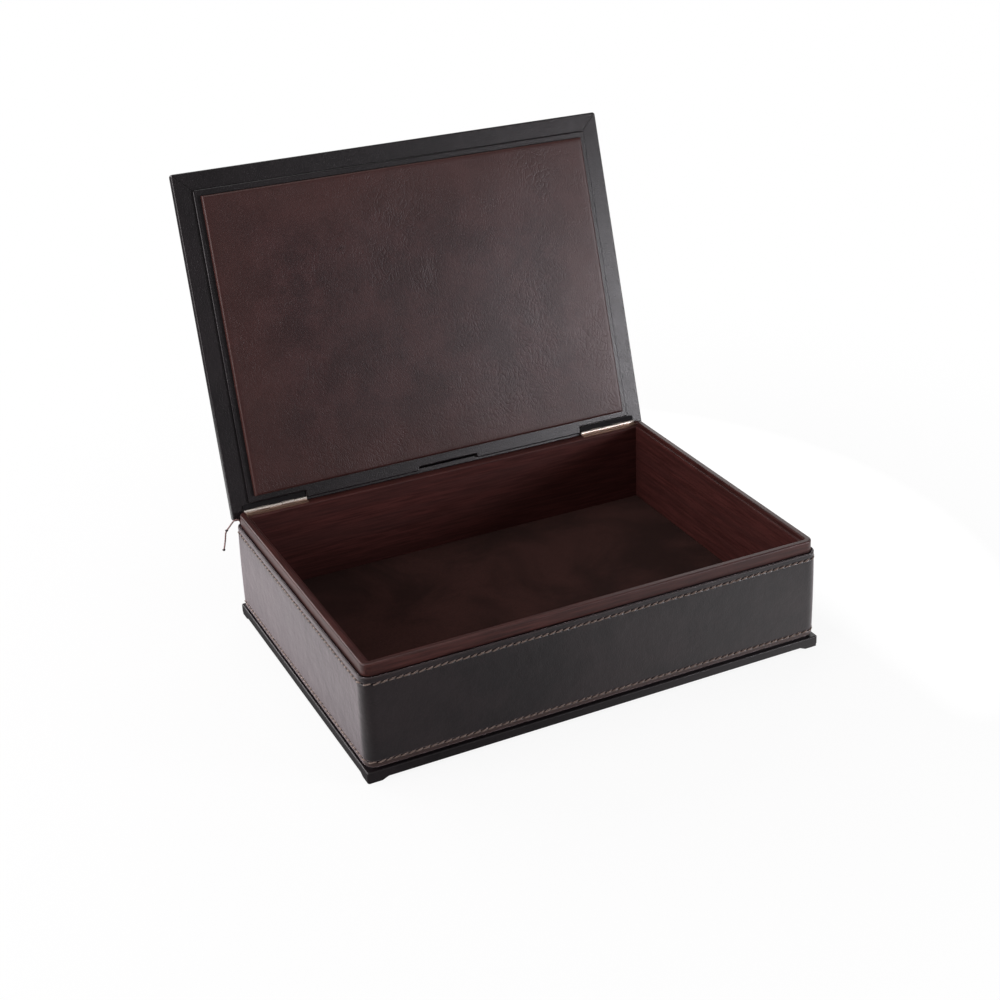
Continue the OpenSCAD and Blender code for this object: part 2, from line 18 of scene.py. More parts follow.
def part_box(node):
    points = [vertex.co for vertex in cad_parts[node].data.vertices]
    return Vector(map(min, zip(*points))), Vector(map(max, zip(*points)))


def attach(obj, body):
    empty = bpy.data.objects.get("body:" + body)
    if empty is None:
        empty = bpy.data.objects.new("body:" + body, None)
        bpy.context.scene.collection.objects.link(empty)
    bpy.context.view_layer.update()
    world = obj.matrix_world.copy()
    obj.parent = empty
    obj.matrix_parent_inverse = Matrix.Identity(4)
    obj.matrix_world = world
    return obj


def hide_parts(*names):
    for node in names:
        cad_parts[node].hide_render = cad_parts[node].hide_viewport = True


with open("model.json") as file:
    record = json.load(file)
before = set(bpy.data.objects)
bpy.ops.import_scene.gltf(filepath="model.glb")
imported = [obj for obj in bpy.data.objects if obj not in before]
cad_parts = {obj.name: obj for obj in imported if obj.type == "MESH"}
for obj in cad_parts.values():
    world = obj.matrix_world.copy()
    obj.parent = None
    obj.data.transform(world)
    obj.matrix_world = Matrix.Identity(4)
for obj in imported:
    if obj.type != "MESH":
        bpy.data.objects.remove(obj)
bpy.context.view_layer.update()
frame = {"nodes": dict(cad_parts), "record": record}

MM = 0.001
print("parts in the frame:", len(frame["nodes"]))

# %% [markdown]
# ## Sizes from the frame
# Places are worked out from the boxes of the packed parts, and not typed in, so the
# soft pieces stay seated if a wall or the lid changes. The open lid leans back round
# the hinge axis. A point on it is easiest to give as x, the distance s from the
# axis towards the lid's front edge, and the height n above the lid's inside face.

# %% Box and lid measures
def low_high(node):
    """Lowest and highest corner of a packed part, as arrays in metres."""
    low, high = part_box(node)
    return np.array(low), np.array(high)


plinth_low, plinth_high = low_high("plinth_leather")
band_low, band_high = low_high("leather_band")
box_mid_y = (plinth_low[1] + plinth_high[1]) / 2
half_l = low_high("right_wall")[1][0]
half_w = (low_high("back_wall")[1][1] - low_high("front_wall")[0][1]) / 2
print("wooden box", round(2 * half_l / MM), "by", round(2 * half_w / MM), "mm")

# %% Points on the open lid
joint = frame["record"]["behaviour"]["joints"][0]
hinge_at = np.array(joint["pos_m"])
open_turn = math.radians(joint["range_deg"][1])
AXIS_TO_LID = 1.4 * MM


def on_lid(x, s, n):
    """Points on the open lid: the closed lid's point lies s in front of the hinge axis and
    AXIS_TO_LID - n above it, and is turned back round the axis by the opening angle."""
    x, s, n = np.broadcast_arrays(x, s, n)
    up = AXIS_TO_LID - n
    y = hinge_at[1] - s * math.cos(open_turn) + up * math.sin(open_turn)
    z = hinge_at[2] + s * math.sin(open_turn) + up * math.cos(open_turn)
    return np.stack([x, y, z], axis=-1)


print("the lid stands open by", round(math.degrees(open_turn), 1), "degrees")

# %% [markdown]
# ## The camera
# The photograph was taken from the front left, a little above the lid's hinge. One
# could push a camera about until the picture looks right. Here its position, turn
# and focal length come from matching the box's straight edges with the picture, so
# the rendered edges fall where the photographed ones do.

# %% Camera
CAMERA_FROM_BOX = (-482.3, -1016.5, 650.7)
CAMERA_YAW = 27.258
CAMERA_PITCH = -21.896
CAMERA_ROLL = -1.336
LENS_MM = 64.80
SENSOR_MM = 36
SHIFT = (-0.0686, -0.1304)


def make_camera():
    """Looks along yaw (from +Y towards +X) and pitch, then rolls about its own axis."""
    yaw, pitch, roll = (math.radians(a) for a in (CAMERA_YAW, CAMERA_PITCH, CAMERA_ROLL))
    ahead = Vector((math.sin(yaw) * math.cos(pitch), math.cos(yaw) * math.cos(pitch), math.sin(pitch)))
    level = Vector((math.cos(yaw), -math.sin(yaw), 0))
    over = level.cross(ahead)
    right = level * math.cos(roll) + over * math.sin(roll)
    up = over * math.cos(roll) - level * math.sin(roll)
    data = bpy.data.cameras.new("photo_camera")
    data.lens = LENS_MM
    data.sensor_width = SENSOR_MM
    data.shift_x, data.shift_y = SHIFT
    camera = bpy.data.objects.new("photo_camera", data)
    bpy.context.collection.objects.link(camera)
    place = Matrix((right, up, -ahead)).transposed().to_4x4()
    place.translation = Vector(CAMERA_FROM_BOX) * MM + Vector((0, box_mid_y, 0))
    camera.matrix_world = place
    bpy.context.scene.camera = camera
    return camera


camera = make_camera()
print("camera at", [round(v, 3) for v in camera.location])

# %% [markdown]
# ## Surfaces from arrays
# New pieces are surfaces worked out with numpy: a grid of points given by two
# parameters. Closing the grid in one direction makes a tube or a loop. The faces
# are index arithmetic on the same grid, so no loop over vertices is needed, and
# each shape stays a formula that can be read and changed.

# %% Grid meshes
def add_mesh(name, points, faces, flat=()):
    """A mesh object from an array of points and rows of corner numbers. Faces are shaded
    smooth, apart from those numbered in flat."""
    rows = faces.tolist() if isinstance(faces, np.ndarray) else faces
    mesh = bpy.data.meshes.new(name)
    mesh.from_pydata(points.reshape(-1, 3).tolist(), [], rows)
    mesh.update()
    smooth = np.ones(len(rows), bool)
    smooth[list(flat)] = False
    mesh.polygons.foreach_set("use_smooth", smooth)
    piece = bpy.data.objects.new(name, mesh)
    bpy.context.collection.objects.link(piece)
    return piece


def grid_faces(rows, columns, close_rows=False, close_columns=False, start=0):
    """Quads of a grid of points numbered row by row; closing joins the last to the first."""
    r = np.arange(rows if close_rows else rows - 1)
    c = np.arange(columns if close_columns else columns - 1)
    r, c = (a.ravel() for a in np.meshgrid(r, c, indexing="ij"))
    r2, c2 = (r + 1) % rows, (c + 1) % columns
    quads = np.stack([r * columns + c, r * columns + c2, r2 * columns + c2, r2 * columns + c], axis=1)
    return quads + start


def turned_over(quads):
    """The same quads seen from behind: a grid's quads face along column step x row step, and
    a piece whose outside is the other side turns them over."""
    return quads[:, [0, 3, 2, 1]]


print("a grid of 4 by 5 points has", len(grid_faces(4, 5)), "faces")

# %% Tubes along a path
def across(path_direction, first_side):
    """Two unit directions u and v, square to the path's unit direction and to each other."""
    u = np.cross(path_direction, first_side)
    u /= np.linalg.norm(u, axis=1)[:, None]
    return u, np.cross(path_direction, u)


def ring_round(u, v, sides):
    """Directions cos a * u + sin a * v for equal steps of a, one ring for each row of u and v."""
    a = (np.arange(sides) * 2 * np.pi / sides)[None, :, None]
    return np.cos(a) * u[:, None] + np.sin(a) * v[:, None]


def smooth_path(points, step, cuts=24):
    """A Catmull-Rom curve through the points, cut into equal steps by arc length."""
    p = np.vstack([2 * points[0] - points[1], points, 2 * points[-1] - points[-2]])
    t = np.linspace(0, 1, cuts, endpoint=False)[:, None]
    parts = []
    for a, b, c, d in zip(p, p[1:], p[2:], p[3:]):
        parts.append(0.5 * (2 * b + (c - a) * t + (2 * a - 5 * b + 4 * c - d) * t**2
                            + (3 * b - a - 3 * c + d) * t**3))
    fine = np.vstack(parts + [points[-1:]])
    run = np.concatenate([[0], np.cumsum(np.linalg.norm(np.diff(fine, axis=0), axis=1))])
    at = np.linspace(0, run[-1], max(2, int(round(run[-1] / step)) + 1))
    return np.stack([np.interp(at, run, fine[:, k]) for k in range(3)], axis=1), run[-1]


print("a straight path of 10 mm in 1 mm steps:",
      len(smooth_path(np.array([(0, 0, 0), (0, 0, 10.0)]), 1)[0]), "points")

# %% [markdown]
# ## Node materials in a few lines
# Leather, wood and metal are all built from the same few shader nodes. One could
# join them by hand in the shader editor. These helpers add a node, join it and mix
# colours, so that each finish below reads as a short recipe: what colour it is, how
# that varies, and how the surface stands up.

# %% Material helpers
class Recipe:
    """A new material with its Principled shader and a way to add and join nodes."""

    def __init__(self, name):
        self.material = bpy.data.materials.new(name)
        self.material.use_nodes = True
        self.tree = self.material.node_tree
        self.shader = next(n for n in self.tree.nodes if n.type == "BSDF_PRINCIPLED")
        self.place = self.add("ShaderNodeTexCoord").outputs["Object"]

    def add(self, kind, **inputs):
        """A new node; an underscore in an input's name stands for a space."""
        node = self.tree.nodes.new(kind)
        for key, value in inputs.items():
            self.give(node.inputs[key.replace("_", " ")], value)
        return node

    def give(self, socket, value):
        """Joins another node's output to the socket, or writes a plain value into it."""
        if isinstance(value, bpy.types.NodeSocket):
            self.tree.links.new(value, socket)
        elif isinstance(value, (tuple, list)) and len(value) == 3 and socket.type == "RGBA":
            socket.default_value = (*value, 1)
        else:
            socket.default_value = value

    def stretched(self, scale, turn=(0, 0, 0)):
        """The place, turned and scaled; a scale under one draws a pattern out."""
        node = self.add("ShaderNodeMapping", Vector=self.place, Scale=scale)
        node.inputs["Rotation"].default_value = turn
        return node.outputs["Vector"]

    def warped(self, place, scale, amount):
        """The place moved about by coloured noise, to bend straight patterns."""
        push = self.add("ShaderNodeTexNoise", Vector=place, Scale=scale, Detail=2.0).outputs["Color"]
        node = self.tree.nodes.new("ShaderNodeVectorMath")
        node.operation = "MULTIPLY_ADD"
        self.give(node.inputs[0], push)
        node.inputs[1].default_value = (amount, amount, amount)
        self.give(node.inputs[2], place)
        return node.outputs[0]

    def part(self, axis):
        """One coordinate of the place, in metres."""
        return self.add("ShaderNodeSeparateXYZ", Vector=self.place).outputs[axis]

    def distance(self, place, point=(0, 0, 0)):
        """Distance of a place from a point, in metres."""
        node = self.tree.nodes.new("ShaderNodeVectorMath")
        node.operation = "DISTANCE"
        self.give(node.inputs[0], place)
        node.inputs[1].default_value = point
        return node.outputs["Value"]

    def noise(self, scale, detail, rough, place=None, warp=0.0):
        """Soft random values round one half, with features about 1 / scale metres wide."""
        node = self.add("ShaderNodeTexNoise", Vector=place or self.place, Scale=scale,
                        Detail=detail, Roughness=rough, Distortion=warp)
        return node.outputs["Fac"]

    def cells(self, scale, place, feature="F1"):
        """Distance from the middle or the edge of irregular cells."""
        node = self.add("ShaderNodeTexVoronoi", Vector=place, Scale=scale)
        node.feature = feature
        return node.outputs["Distance"]

    def ramp(self, value, low, high, to_low=0.0, to_high=1.0):
        """A smooth step from one level to another while the value goes from low to high."""
        node = self.add("ShaderNodeMapRange", Value=value)
        node.inputs["From Min"].default_value = low
        node.inputs["From Max"].default_value = high
        node.inputs["To Min"].default_value = to_low
        node.inputs["To Max"].default_value = to_high
        node.interpolation_type = "SMOOTHSTEP"
        return node.outputs["Result"]

    def math(self, how, a, b=0.0):
        """Arithmetic on two values, or on the first alone."""
        node = self.tree.nodes.new("ShaderNodeMath")
        node.operation = how
        self.give(node.inputs[0], a)
        self.give(node.inputs[1], b)
        return node.outputs[0]

    def mix(self, share, a, b):
        """Colour a with the given share of colour b."""
        node = self.tree.nodes.new("ShaderNodeMix")
        node.data_type = "RGBA"
        self.give(node.inputs["Factor"], share)
        self.give(node.inputs["A"], a)
        self.give(node.inputs["B"], b)
        return node.outputs["Result"]

    def bump(self, height, distance, strength, under=None):
        """A height pattern as a change of the normal, on top of the one under it."""
        node = self.add("ShaderNodeBump", Height=height, Distance=distance, Strength=strength)
        if under is not None:
            self.give(node.inputs["Normal"], under)
        return node.outputs["Normal"]

    def finish(self, colour, rough, normal=None, **sockets):
        """Sets the shader and gives back the material."""
        self.give(self.shader.inputs["Base Color"], colour)
        self.give(self.shader.inputs["Roughness"], rough)
        if normal is not None:
            self.give(self.shader.inputs["Normal"], normal)
        for key, value in sockets.items():
            self.give(self.shader.inputs[key.replace("_", " ")], value)
        return self.material


def paint(piece, material):
    """Gives every slot of a piece, or of a packed part by its name, the material."""
    piece = frame["nodes"][piece] if isinstance(piece, str) else piece
    if not piece.material_slots:
        piece.data.materials.append(material)
    for slot in piece.material_slots:
        slot.material = material


print("material steps:", [name for name in vars(Recipe) if not name.startswith("_")])

# %% [markdown]
# ## The loose thread
# A short waxed thread comes out behind the leather band at the back left corner,
# stands up stiffly for a few millimetres, bends over and hangs beside the box. A
# knot in its middle and one at its end stop it fraying. A Blender curve with a
# bevel would give a smooth rod. It is a tube carried along the route that the
# packed model holds instead, so that its two twisted plies can be a groove that
# winds round the tube.

# %% Thread route
THREAD_D = 1.2 * MM
THREAD_PLY = 2.6 * MM
THREAD_GROOVE = 0.2
THREAD_SIDES = 12
THREAD_STEP = 0.22 * MM
THREAD_ROUTE = np.array([
    (-164, 119, 73.6),
    (-164, 118.9, 74.8),
    (-164.4, 118.7, 76),
    (-165.4, 118.7, 77),
    (-166.9, 118.8, 77.4),
    (-168.6, 119, 76.9),
    (-170, 119.2, 75.5),
    (-171.4, 119.4, 73.8),
    (-172.8, 119.6, 72.1),
    (-174.2, 119.8, 70.4),
    (-175.1, 119.9, 68.4),
    (-175.5, 120, 66.2),
    (-175.8, 120, 64),
    (-176.2, 120, 61.8),
    (-176.7, 119.9, 59.6),
    (-177.2, 119.8, 57.6),
    (-177.7, 119.8, 55.8),
]) * MM + (0, box_mid_y, 0)
MID_KNOT = 9

thread_line, thread_length = smooth_path(THREAD_ROUTE, THREAD_STEP)
print("thread", round(thread_length / MM, 1), "mm long")

# %% Twisted tube
def make_thread():
    """Point = path(s) + r(s, a) * (cos a * u + sin a * v), where r is half the diameter, less
    a groove that winds once per ply length. A fan of triangles closes each end."""
    run = np.arange(len(thread_line)) * thread_length / (len(thread_line) - 1)
    a = np.arange(THREAD_SIDES) * 2 * np.pi / THREAD_SIDES
    ply = np.abs(np.cos(a[None, :] - 2 * np.pi * run[:, None] / THREAD_PLY))
    radius = THREAD_D / 2 * (1 - THREAD_GROOVE * (1 - ply))
    ahead = np.gradient(thread_line, axis=0)
    ahead /= np.linalg.norm(ahead, axis=1)[:, None]
    rings = thread_line[:, None] + radius[:, :, None] * ring_round(*across(ahead, (0, 1, 0)), THREAD_SIDES)
    points = np.vstack([rings.reshape(-1, 3), thread_line[0], thread_line[-1]])
    k = np.arange(THREAD_SIDES)
    k2 = (k + 1) % THREAD_SIDES
    tip = len(rings) * THREAD_SIDES
    last = tip - THREAD_SIDES
    faces = grid_faces(len(rings), THREAD_SIDES, close_columns=True).tolist()
    faces += np.stack([k2, k, np.full_like(k, tip)], axis=1).tolist()
    faces += np.stack([last + k, last + k2, np.full_like(k, tip + 1)], axis=1).tolist()
    return add_mesh("hanging_thread", points, faces)


thread = make_thread()
print("thread faces:", len(thread.data.polygons))

# %% Knots
KNOT_SIZE = 0.26 * MM
KNOT_STRAND = 0.46 * MM


def make_knots(sides=8, steps=60):
    """Each knot is a small tube along a trefoil: (sin t + 2 sin 2t, cos t - 2 cos 2t, -sin 3t)."""
    t = np.arange(steps) * 2 * np.pi / steps
    curve = np.stack([np.sin(t) + 2 * np.sin(2 * t), np.cos(t) - 2 * np.cos(2 * t), -np.sin(3 * t)], axis=1)
    ahead = np.stack([np.cos(t) + 4 * np.cos(2 * t), -np.sin(t) + 4 * np.sin(2 * t),
                      -3 * np.cos(3 * t)], axis=1)
    ahead /= np.linalg.norm(ahead, axis=1)[:, None]
    tube = KNOT_SIZE * curve[:, None] + KNOT_STRAND * ring_round(*across(ahead, (0.1, 0.2, 1)), sides)
    centres = THREAD_ROUTE[[MID_KNOT, -1]]
    points = np.concatenate([(tube + c).reshape(-1, 3) for c in centres])
    faces = np.concatenate([grid_faces(steps, sides, True, True, k * steps * sides) for k in range(2)])
    return add_mesh("thread_end_knots", points, faces)


knots = make_knots()
print("knot faces:", len(knots.data.polygons))

# %% Hang the thread on the box
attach(thread, "box")
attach(knots, "box")
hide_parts("tag_thread")
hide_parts("thread_knots")
print("the thread leaves the box at", [round(float(v), 3) for v in THREAD_ROUTE[0]])

# %% [markdown]
# ## The leather band
# The band is one strip of soft leather, about two millimetres thick, wrapped round
# the walls. Its long edges are rolled over, and a row of stitches near each edge
# pulls it in, so that the leather between the rows stands slightly proud. Sculpting
# would give this too, but not evenly round four sides. The surface is a profile
# carried round the rounded rectangle of the walls instead: u runs round the box, v
# runs down the profile.

# %% Path round the walls
WALL_CORNER_R = 6 * MM
STITCH_PITCH = 5.0 * MM
POINTS_PER_STITCH = 5


def round_rectangle(half_x, half_y, r, count):
    """Points, outward directions and run of a rounded rectangle, count points equally spaced,
    from the middle of the back side clockwise as seen from above, and its whole length."""
    run_x, run_y, arc = 2 * (half_x - r), 2 * (half_y - r), r * math.pi / 2
    legs = np.array([run_x / 2, arc, run_y, arc, run_x, arc, run_y, arc, run_x / 2])
    leg_ends = np.concatenate([[0], np.cumsum(legs)])
    total = leg_ends[-1]
    run = np.arange(count) * total / count
    angle = np.interp(run, leg_ends, np.radians([90, 90, 0, 0, -90, -90, -180, -180, -270, -270]))
    out = np.stack([np.cos(angle), np.sin(angle)], axis=1)
    x, y = half_x - r, half_y - r
    corner_x = np.interp(run, leg_ends, [0, x, x, x, x, -x, -x, -x, -x, 0])
    corner_y = np.interp(run, leg_ends, [y, y, y, -y, -y, -y, -y, y, y, y])
    return np.stack([corner_x, corner_y], axis=1) + r * out, out, run, total


around_walls = round_rectangle(half_l, half_w, WALL_CORNER_R, 8)[3]
stitches_round = int(round(around_walls / STITCH_PITCH))
wall_path, wall_out, wall_run, wall_total = round_rectangle(
    half_l, half_w, WALL_CORNER_R, stitches_round * POINTS_PER_STITCH)
print("stitches in a row:", stitches_round)

# %% Slow unevenness
SEED = 7
random = np.random.default_rng(SEED)


def slow_waves(u, v, size, count, amount):
    """A sum of long sine waves with seeded directions and phases, for hand-made unevenness."""
    total = np.zeros(np.broadcast_shapes(u.shape, v.shape))
    for _ in range(count):
        turn = random.uniform(0, 2 * np.pi)
        length = size * random.uniform(0.7, 1.6)
        phase = random.uniform(0, 2 * np.pi)
        total = total + np.sin(2 * np.pi * (u * np.cos(turn) + v * np.sin(turn)) / length + phase)
    return amount * total / count


print("the uneven leather and stitches are drawn from seed", SEED)

# %% Band profile
BAND_T = band_high[0] - half_l
TOP_ROW_Z = band_high[2] - 4.4 * MM
LOW_ROW_Z = band_low[2] + 3.8 * MM
TOP_EDGE_R = 0.75 * MM
LOW_EDGE_R = 0.95 * MM
GROOVE_DEPTH = 1.6 * MM
SKIN_GAP = 0.02 * MM


def band_profile():
    """Distance out from the wood and height, from a small groove beside the wood over the
    rolled top edge, down the outside, round the lower rolled edge and in again. Stations
    stand closer where the stitch rows press in."""
    r, low_r = TOP_EDGE_R, LOW_EDGE_R
    top, low = band_high[2], band_low[2]
    back = np.linspace(-np.pi / 2, 0, 4)[:-1]
    turn = np.linspace(0, np.pi / 2, 6)
    near_row = np.linspace(-1.4, 1.4, 8) * MM
    down = np.concatenate([np.linspace(top - r, low + low_r, 40)[1:-1],
                           TOP_ROW_Z + near_row, LOW_ROW_Z + near_row])
    down = np.sort(down)[::-1]
    lip = BAND_T - 1.6 * r
    out = [[SKIN_GAP], lip + 0.6 * r * (1 + np.sin(back)), BAND_T - r + r * np.sin(turn),
           np.full(len(down), BAND_T), BAND_T - low_r + low_r * np.cos(turn), [BAND_T * 0.3, SKIN_GAP]]
    up = [[top - GROOVE_DEPTH], top - 0.6 * r + 0.6 * r * np.cos(back), top - r + r * np.cos(turn),
          down, low + low_r - low_r * np.sin(turn), [low, low + 0.1 * MM]]
    return np.concatenate(out), np.concatenate(up)


print("band", round(BAND_T / MM, 2), "mm thick, with", len(band_profile()[0]), "stations down its profile")

# %% Band surface
ROW_PRESS = 0.85 * MM
ROW_WIDTH = 0.75 * MM
SWELL = 0.35 * MM
BAND_WAVES = (90 * MM, 7, 0.22 * MM)


def make_band():
    """Surface = path(u) + out(v) * outward(u). Each stitch row presses the leather in by a
    narrow groove, deeper at every hole, and the leather between the rows swells in a low arch
    with slow waves. All this fades out towards the side that lies on the wood. The attribute
    "hole" is one at every stitch hole and fades round it."""
    out, up = band_profile()
    u, z = wall_run[:, None], up[None, :]
    face = np.clip((out / BAND_T - 0.55) / 0.4, 0, 1)[None, :]
    press = sum(np.exp(-(((z - row) / ROW_WIDTH) ** 2)) for row in (TOP_ROW_Z, LOW_ROW_Z))
    near_hole = 0.5 + 0.5 * np.cos(2 * np.pi * u / (wall_total / stitches_round))
    middle, reach = (TOP_ROW_Z + LOW_ROW_Z) / 2, (TOP_ROW_Z - LOW_ROW_Z) / 2
    arch = np.clip(1 - ((z - middle) / reach) ** 2, 0, 1) ** 0.7
    move = SWELL * arch - ROW_PRESS * press * (0.35 + 0.65 * near_hole ** 2)
    move = move + slow_waves(u, z, *BAND_WAVES) * arch
    away = out[None, :] + move * face
    xy = wall_path[:, None, :] + away[:, :, None] * wall_out[:, None, :]
    points = np.concatenate([xy, np.broadcast_to(z[..., None], (*away.shape, 1))], axis=-1)
    points[..., 1] += box_mid_y
    faces = grid_faces(len(wall_run), len(out), close_rows=True, close_columns=True)
    piece = add_mesh("leather_wrap", points, turned_over(faces))
    # The hole attribute marks painted shade: the band's colour goes near black at each stitch hole.
    hole = piece.data.attributes.new("hole", "FLOAT", "POINT")
    hole.data.foreach_set("value", (press * near_hole ** 4 * face).ravel())
    return piece


band = make_band()
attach(band, "box")
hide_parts("leather_band")
print("band faces:", len(band.data.polygons))

# %% [markdown]
# ## Saddle stitches
# The band is sewn by hand with a thick tan thread. Each stitch leaves one hole low
# and enters the next one high, so the row looks like a rope laid along the edge. A
# picture of stitches would look flat from the side. All stitches come from one
# small arched tube, repeated along the row by adding arrays, a few dozen faces each.

# %% Stitch rows
STITCH_R = 0.5 * MM
STITCH_SINK = 0.42 * MM
STITCH_ARCH = 0.62 * MM
STITCH_CLIMB = 0.5 * MM
STITCH_THICK = (0.6, 0.9, 1, 1.05, 1, 0.9, 0.6)
STITCH_SIDES = 6
STITCH_STRAY = (0.1 * MM, 0.08)


def stitch_row(z_row, name):
    """Point = path + t * along + lift(t) * outward + climb(t) * up, with t from one hole to
    the next: lift is half an ellipse and climb half a sine, so that each stitch lies aslant.
    Each strays a little in height and in slant."""
    sides, rings = STITCH_SIDES, len(STITCH_THICK)
    t = np.linspace(-0.5, 0.5, rings)
    centre_run = (np.arange(stitches_round) + 0.5) * wall_total / stitches_round
    x, y = (np.interp(centre_run, wall_run, wall_path[:, k]) for k in range(2))
    out = np.stack([np.interp(centre_run, wall_run, wall_out[:, k]) for k in range(2)] + [0 * x], axis=1)
    out /= np.linalg.norm(out, axis=1)[:, None]
    along = np.stack([out[:, 1], -out[:, 0], 0 * x], axis=1)
    up = np.array([0, 0, 1.0])
    wobble = random.normal(0, 1, (stitches_round, 2)) * STITCH_STRAY
    lift = BAND_T - STITCH_SINK + STITCH_ARCH * np.sqrt(np.clip(1 - (2 * t) ** 2, 0, 1))
    climb = -STITCH_CLIMB * np.sin(np.pi * t)
    base = np.stack([x, y + box_mid_y, np.full_like(x, z_row)], axis=1)
    height = climb[None, :, None] * (1 + wobble[:, None, 1:2]) + wobble[:, None, 0:1]
    centre = (base[:, None] + (t * STITCH_PITCH)[None, :, None] * along[:, None]
              + lift[None, :, None] * out[:, None] + height * up)
    thick = STITCH_R * np.array(STITCH_THICK)
    a = np.arange(sides) * 2 * np.pi / sides
    ring = (np.cos(a)[:, None] * up)[None] + np.sin(a)[None, :, None] * out[:, None]
    points = centre[:, :, None] + thick[None, :, None, None] * ring[:, None]
    first_end = np.array([[5, 4, 1, 0], [4, 3, 2, 1]])
    last_end = np.array([[0, 1, 4, 5], [1, 2, 3, 4]]) + (rings - 1) * sides
    one = np.concatenate([grid_faces(rings, sides, close_columns=True), first_end, last_end])
    faces = (one[None] + (np.arange(stitches_round) * rings * sides)[:, None, None]).reshape(-1, 4)
    piece = add_mesh(name, points, turned_over(faces))
    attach(piece, "box")
    return piece


top_stitches = stitch_row(TOP_ROW_Z, "stitches_top_row")
low_stitches = stitch_row(LOW_ROW_Z, "stitches_low_row")
print("stitch faces:", len(top_stitches.data.polygons) + len(low_stitches.data.polygons))

# %% [markdown]
# ## The pad in the lid
# A card with a thin sheet of foam under brown leather fills the inside of the lid.
# Its edge is rounded, its middle stands a little higher, and the leather keeps
# soft dents and fine creases from handling. A cloth simulation over the card would
# give much the same for more work. The surface is a grid over the rectangle, with
# rows gathered towards the edges where it curves, and its height is a formula.

# %% Pad sizes and stations
STEP_T = 2.0 * MM
PAD_H = 3.6 * MM
PAD_ROUND = 1.8 * MM
PAD_CROWN = 0.8 * MM
PAD_HALF_X = 150.7 * MM
PAD_S = (10 * MM, 226.5 * MM)
PAD_CELLS = (150, 108)
PAD_WAVES = ((80 * MM, 9, 0.25 * MM), (26 * MM, 9, 0.02 * MM))
PAD_CALM = 12 * MM


def gathered(low, high, r, cells):
    """Stations from low to high: a quarter turn of radius r at both ends, even between."""
    turn = r * (1 - np.cos(np.linspace(0, np.pi / 2, 7)))[:-1]
    return np.concatenate([low + turn, np.linspace(low + r, high - r, cells + 1), high - turn[::-1]])


def edge_rise(d, r):
    """Height of a rounded edge at distance d from it, less its full height: a quarter circle."""
    return np.where(d >= r, 0.0, np.sqrt(np.clip(r * r - (r - d) ** 2, 0, None)) - r)


print("pad", round(2 * PAD_HALF_X / MM, 1), "by", round((PAD_S[1] - PAD_S[0]) / MM, 1), "mm")

# %% Pad surface
def make_pad():
    """Height n = pad height + edge rounding + a low crown + soft dents that fade out over the
    last PAD_CALM before an edge; the sides go straight down."""
    x = gathered(-PAD_HALF_X, PAD_HALF_X, PAD_ROUND, PAD_CELLS[0])
    s = gathered(*PAD_S, PAD_ROUND, PAD_CELLS[1])
    X, S = np.meshgrid(x, s, indexing="ij")
    dx = PAD_HALF_X - np.abs(X)
    ds = np.minimum(S - PAD_S[0], PAD_S[1] - S)
    mid = (PAD_S[0] + PAD_S[1]) / 2
    crown = PAD_CROWN * (1 - (X / PAD_HALF_X) ** 2) * (1 - ((S - mid) / (PAD_S[1] - mid)) ** 2)
    inside = np.clip(np.minimum(dx, ds) / PAD_CALM, 0, 1)
    dents = sum(slow_waves(X, S, *waves) for waves in PAD_WAVES)
    n = PAD_H + np.minimum(edge_rise(dx, PAD_ROUND), edge_rise(ds, PAD_ROUND)) + crown + dents * inside
    top = on_lid(X, S, STEP_T + n)
    rows, columns = X.shape
    i, j = np.arange(rows), np.arange(columns)
    rim = np.concatenate([i[:-1] * columns, (rows - 1) * columns + j[:-1],
                          i[:0:-1] * columns + columns - 1, j[:0:-1]])
    foot = on_lid(X.ravel()[rim], S.ravel()[rim], STEP_T + SKIN_GAP)
    points = np.vstack([top.reshape(-1, 3), foot])
    m = rows * columns + np.arange(len(rim))
    side = np.stack([rim, np.roll(rim, -1), np.roll(m, -1), m], axis=1)
    faces = np.concatenate([grid_faces(rows, columns), side])
    return add_mesh("padded_panel", points, turned_over(faces))


pad = make_pad()
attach(pad, "lid")
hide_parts("pad_leather")
print("pad faces:", len(pad.data.polygons))

# %% [markdown]
# ## The step plate
# Behind the pad lies a thin plate, wrapped in black leather, which drops into the
# rim of the box when the lid closes. It is cut out round the two hinges and once
# in the middle of its rear edge. A Bevel modifier on a flat plate would do, but
# pinches in the tight inner corners. The leather goes round every edge, so here the
# plate is an edge profile carried along its whole outline, and one flat face on top.

# %% Outline with rounded corners
def rounded_outline(corners, radii, cells=5):
    """Each corner becomes an arc: points at equal turns round the centre that lies at the
    corner's radius from both of its sides. Also gives the outward direction at every point."""
    corners = np.asarray(corners, float)
    before = np.roll(corners, 1, axis=0) - corners
    after = np.roll(corners, -1, axis=0) - corners
    before /= np.linalg.norm(before, axis=1)[:, None]
    after /= np.linalg.norm(after, axis=1)[:, None]
    way = -before
    left_turn = way[:, 0] * after[:, 1] - way[:, 1] * after[:, 0] > 0
    sign = np.where(left_turn, 1.0, -1.0)[:, None]
    r = np.asarray(radii, float)[:, None]
    centre = corners + r * (before + after)
    start = np.stack([way[:, 1], -way[:, 0]], axis=1)
    turn = np.linspace(0, np.pi / 2, cells)[None, :, None]
    out = np.cos(turn) * start[:, None] + np.sin(turn) * (sign * way)[:, None]
    points = centre[:, None] + (sign * r)[:, None] * out
    return points.reshape(-1, 2), out.reshape(-1, 2)


print("a rounded square has", len(rounded_outline([(0, 0), (1, 0), (1, 1), (0, 1)], [0.1] * 4)[0]), "points")

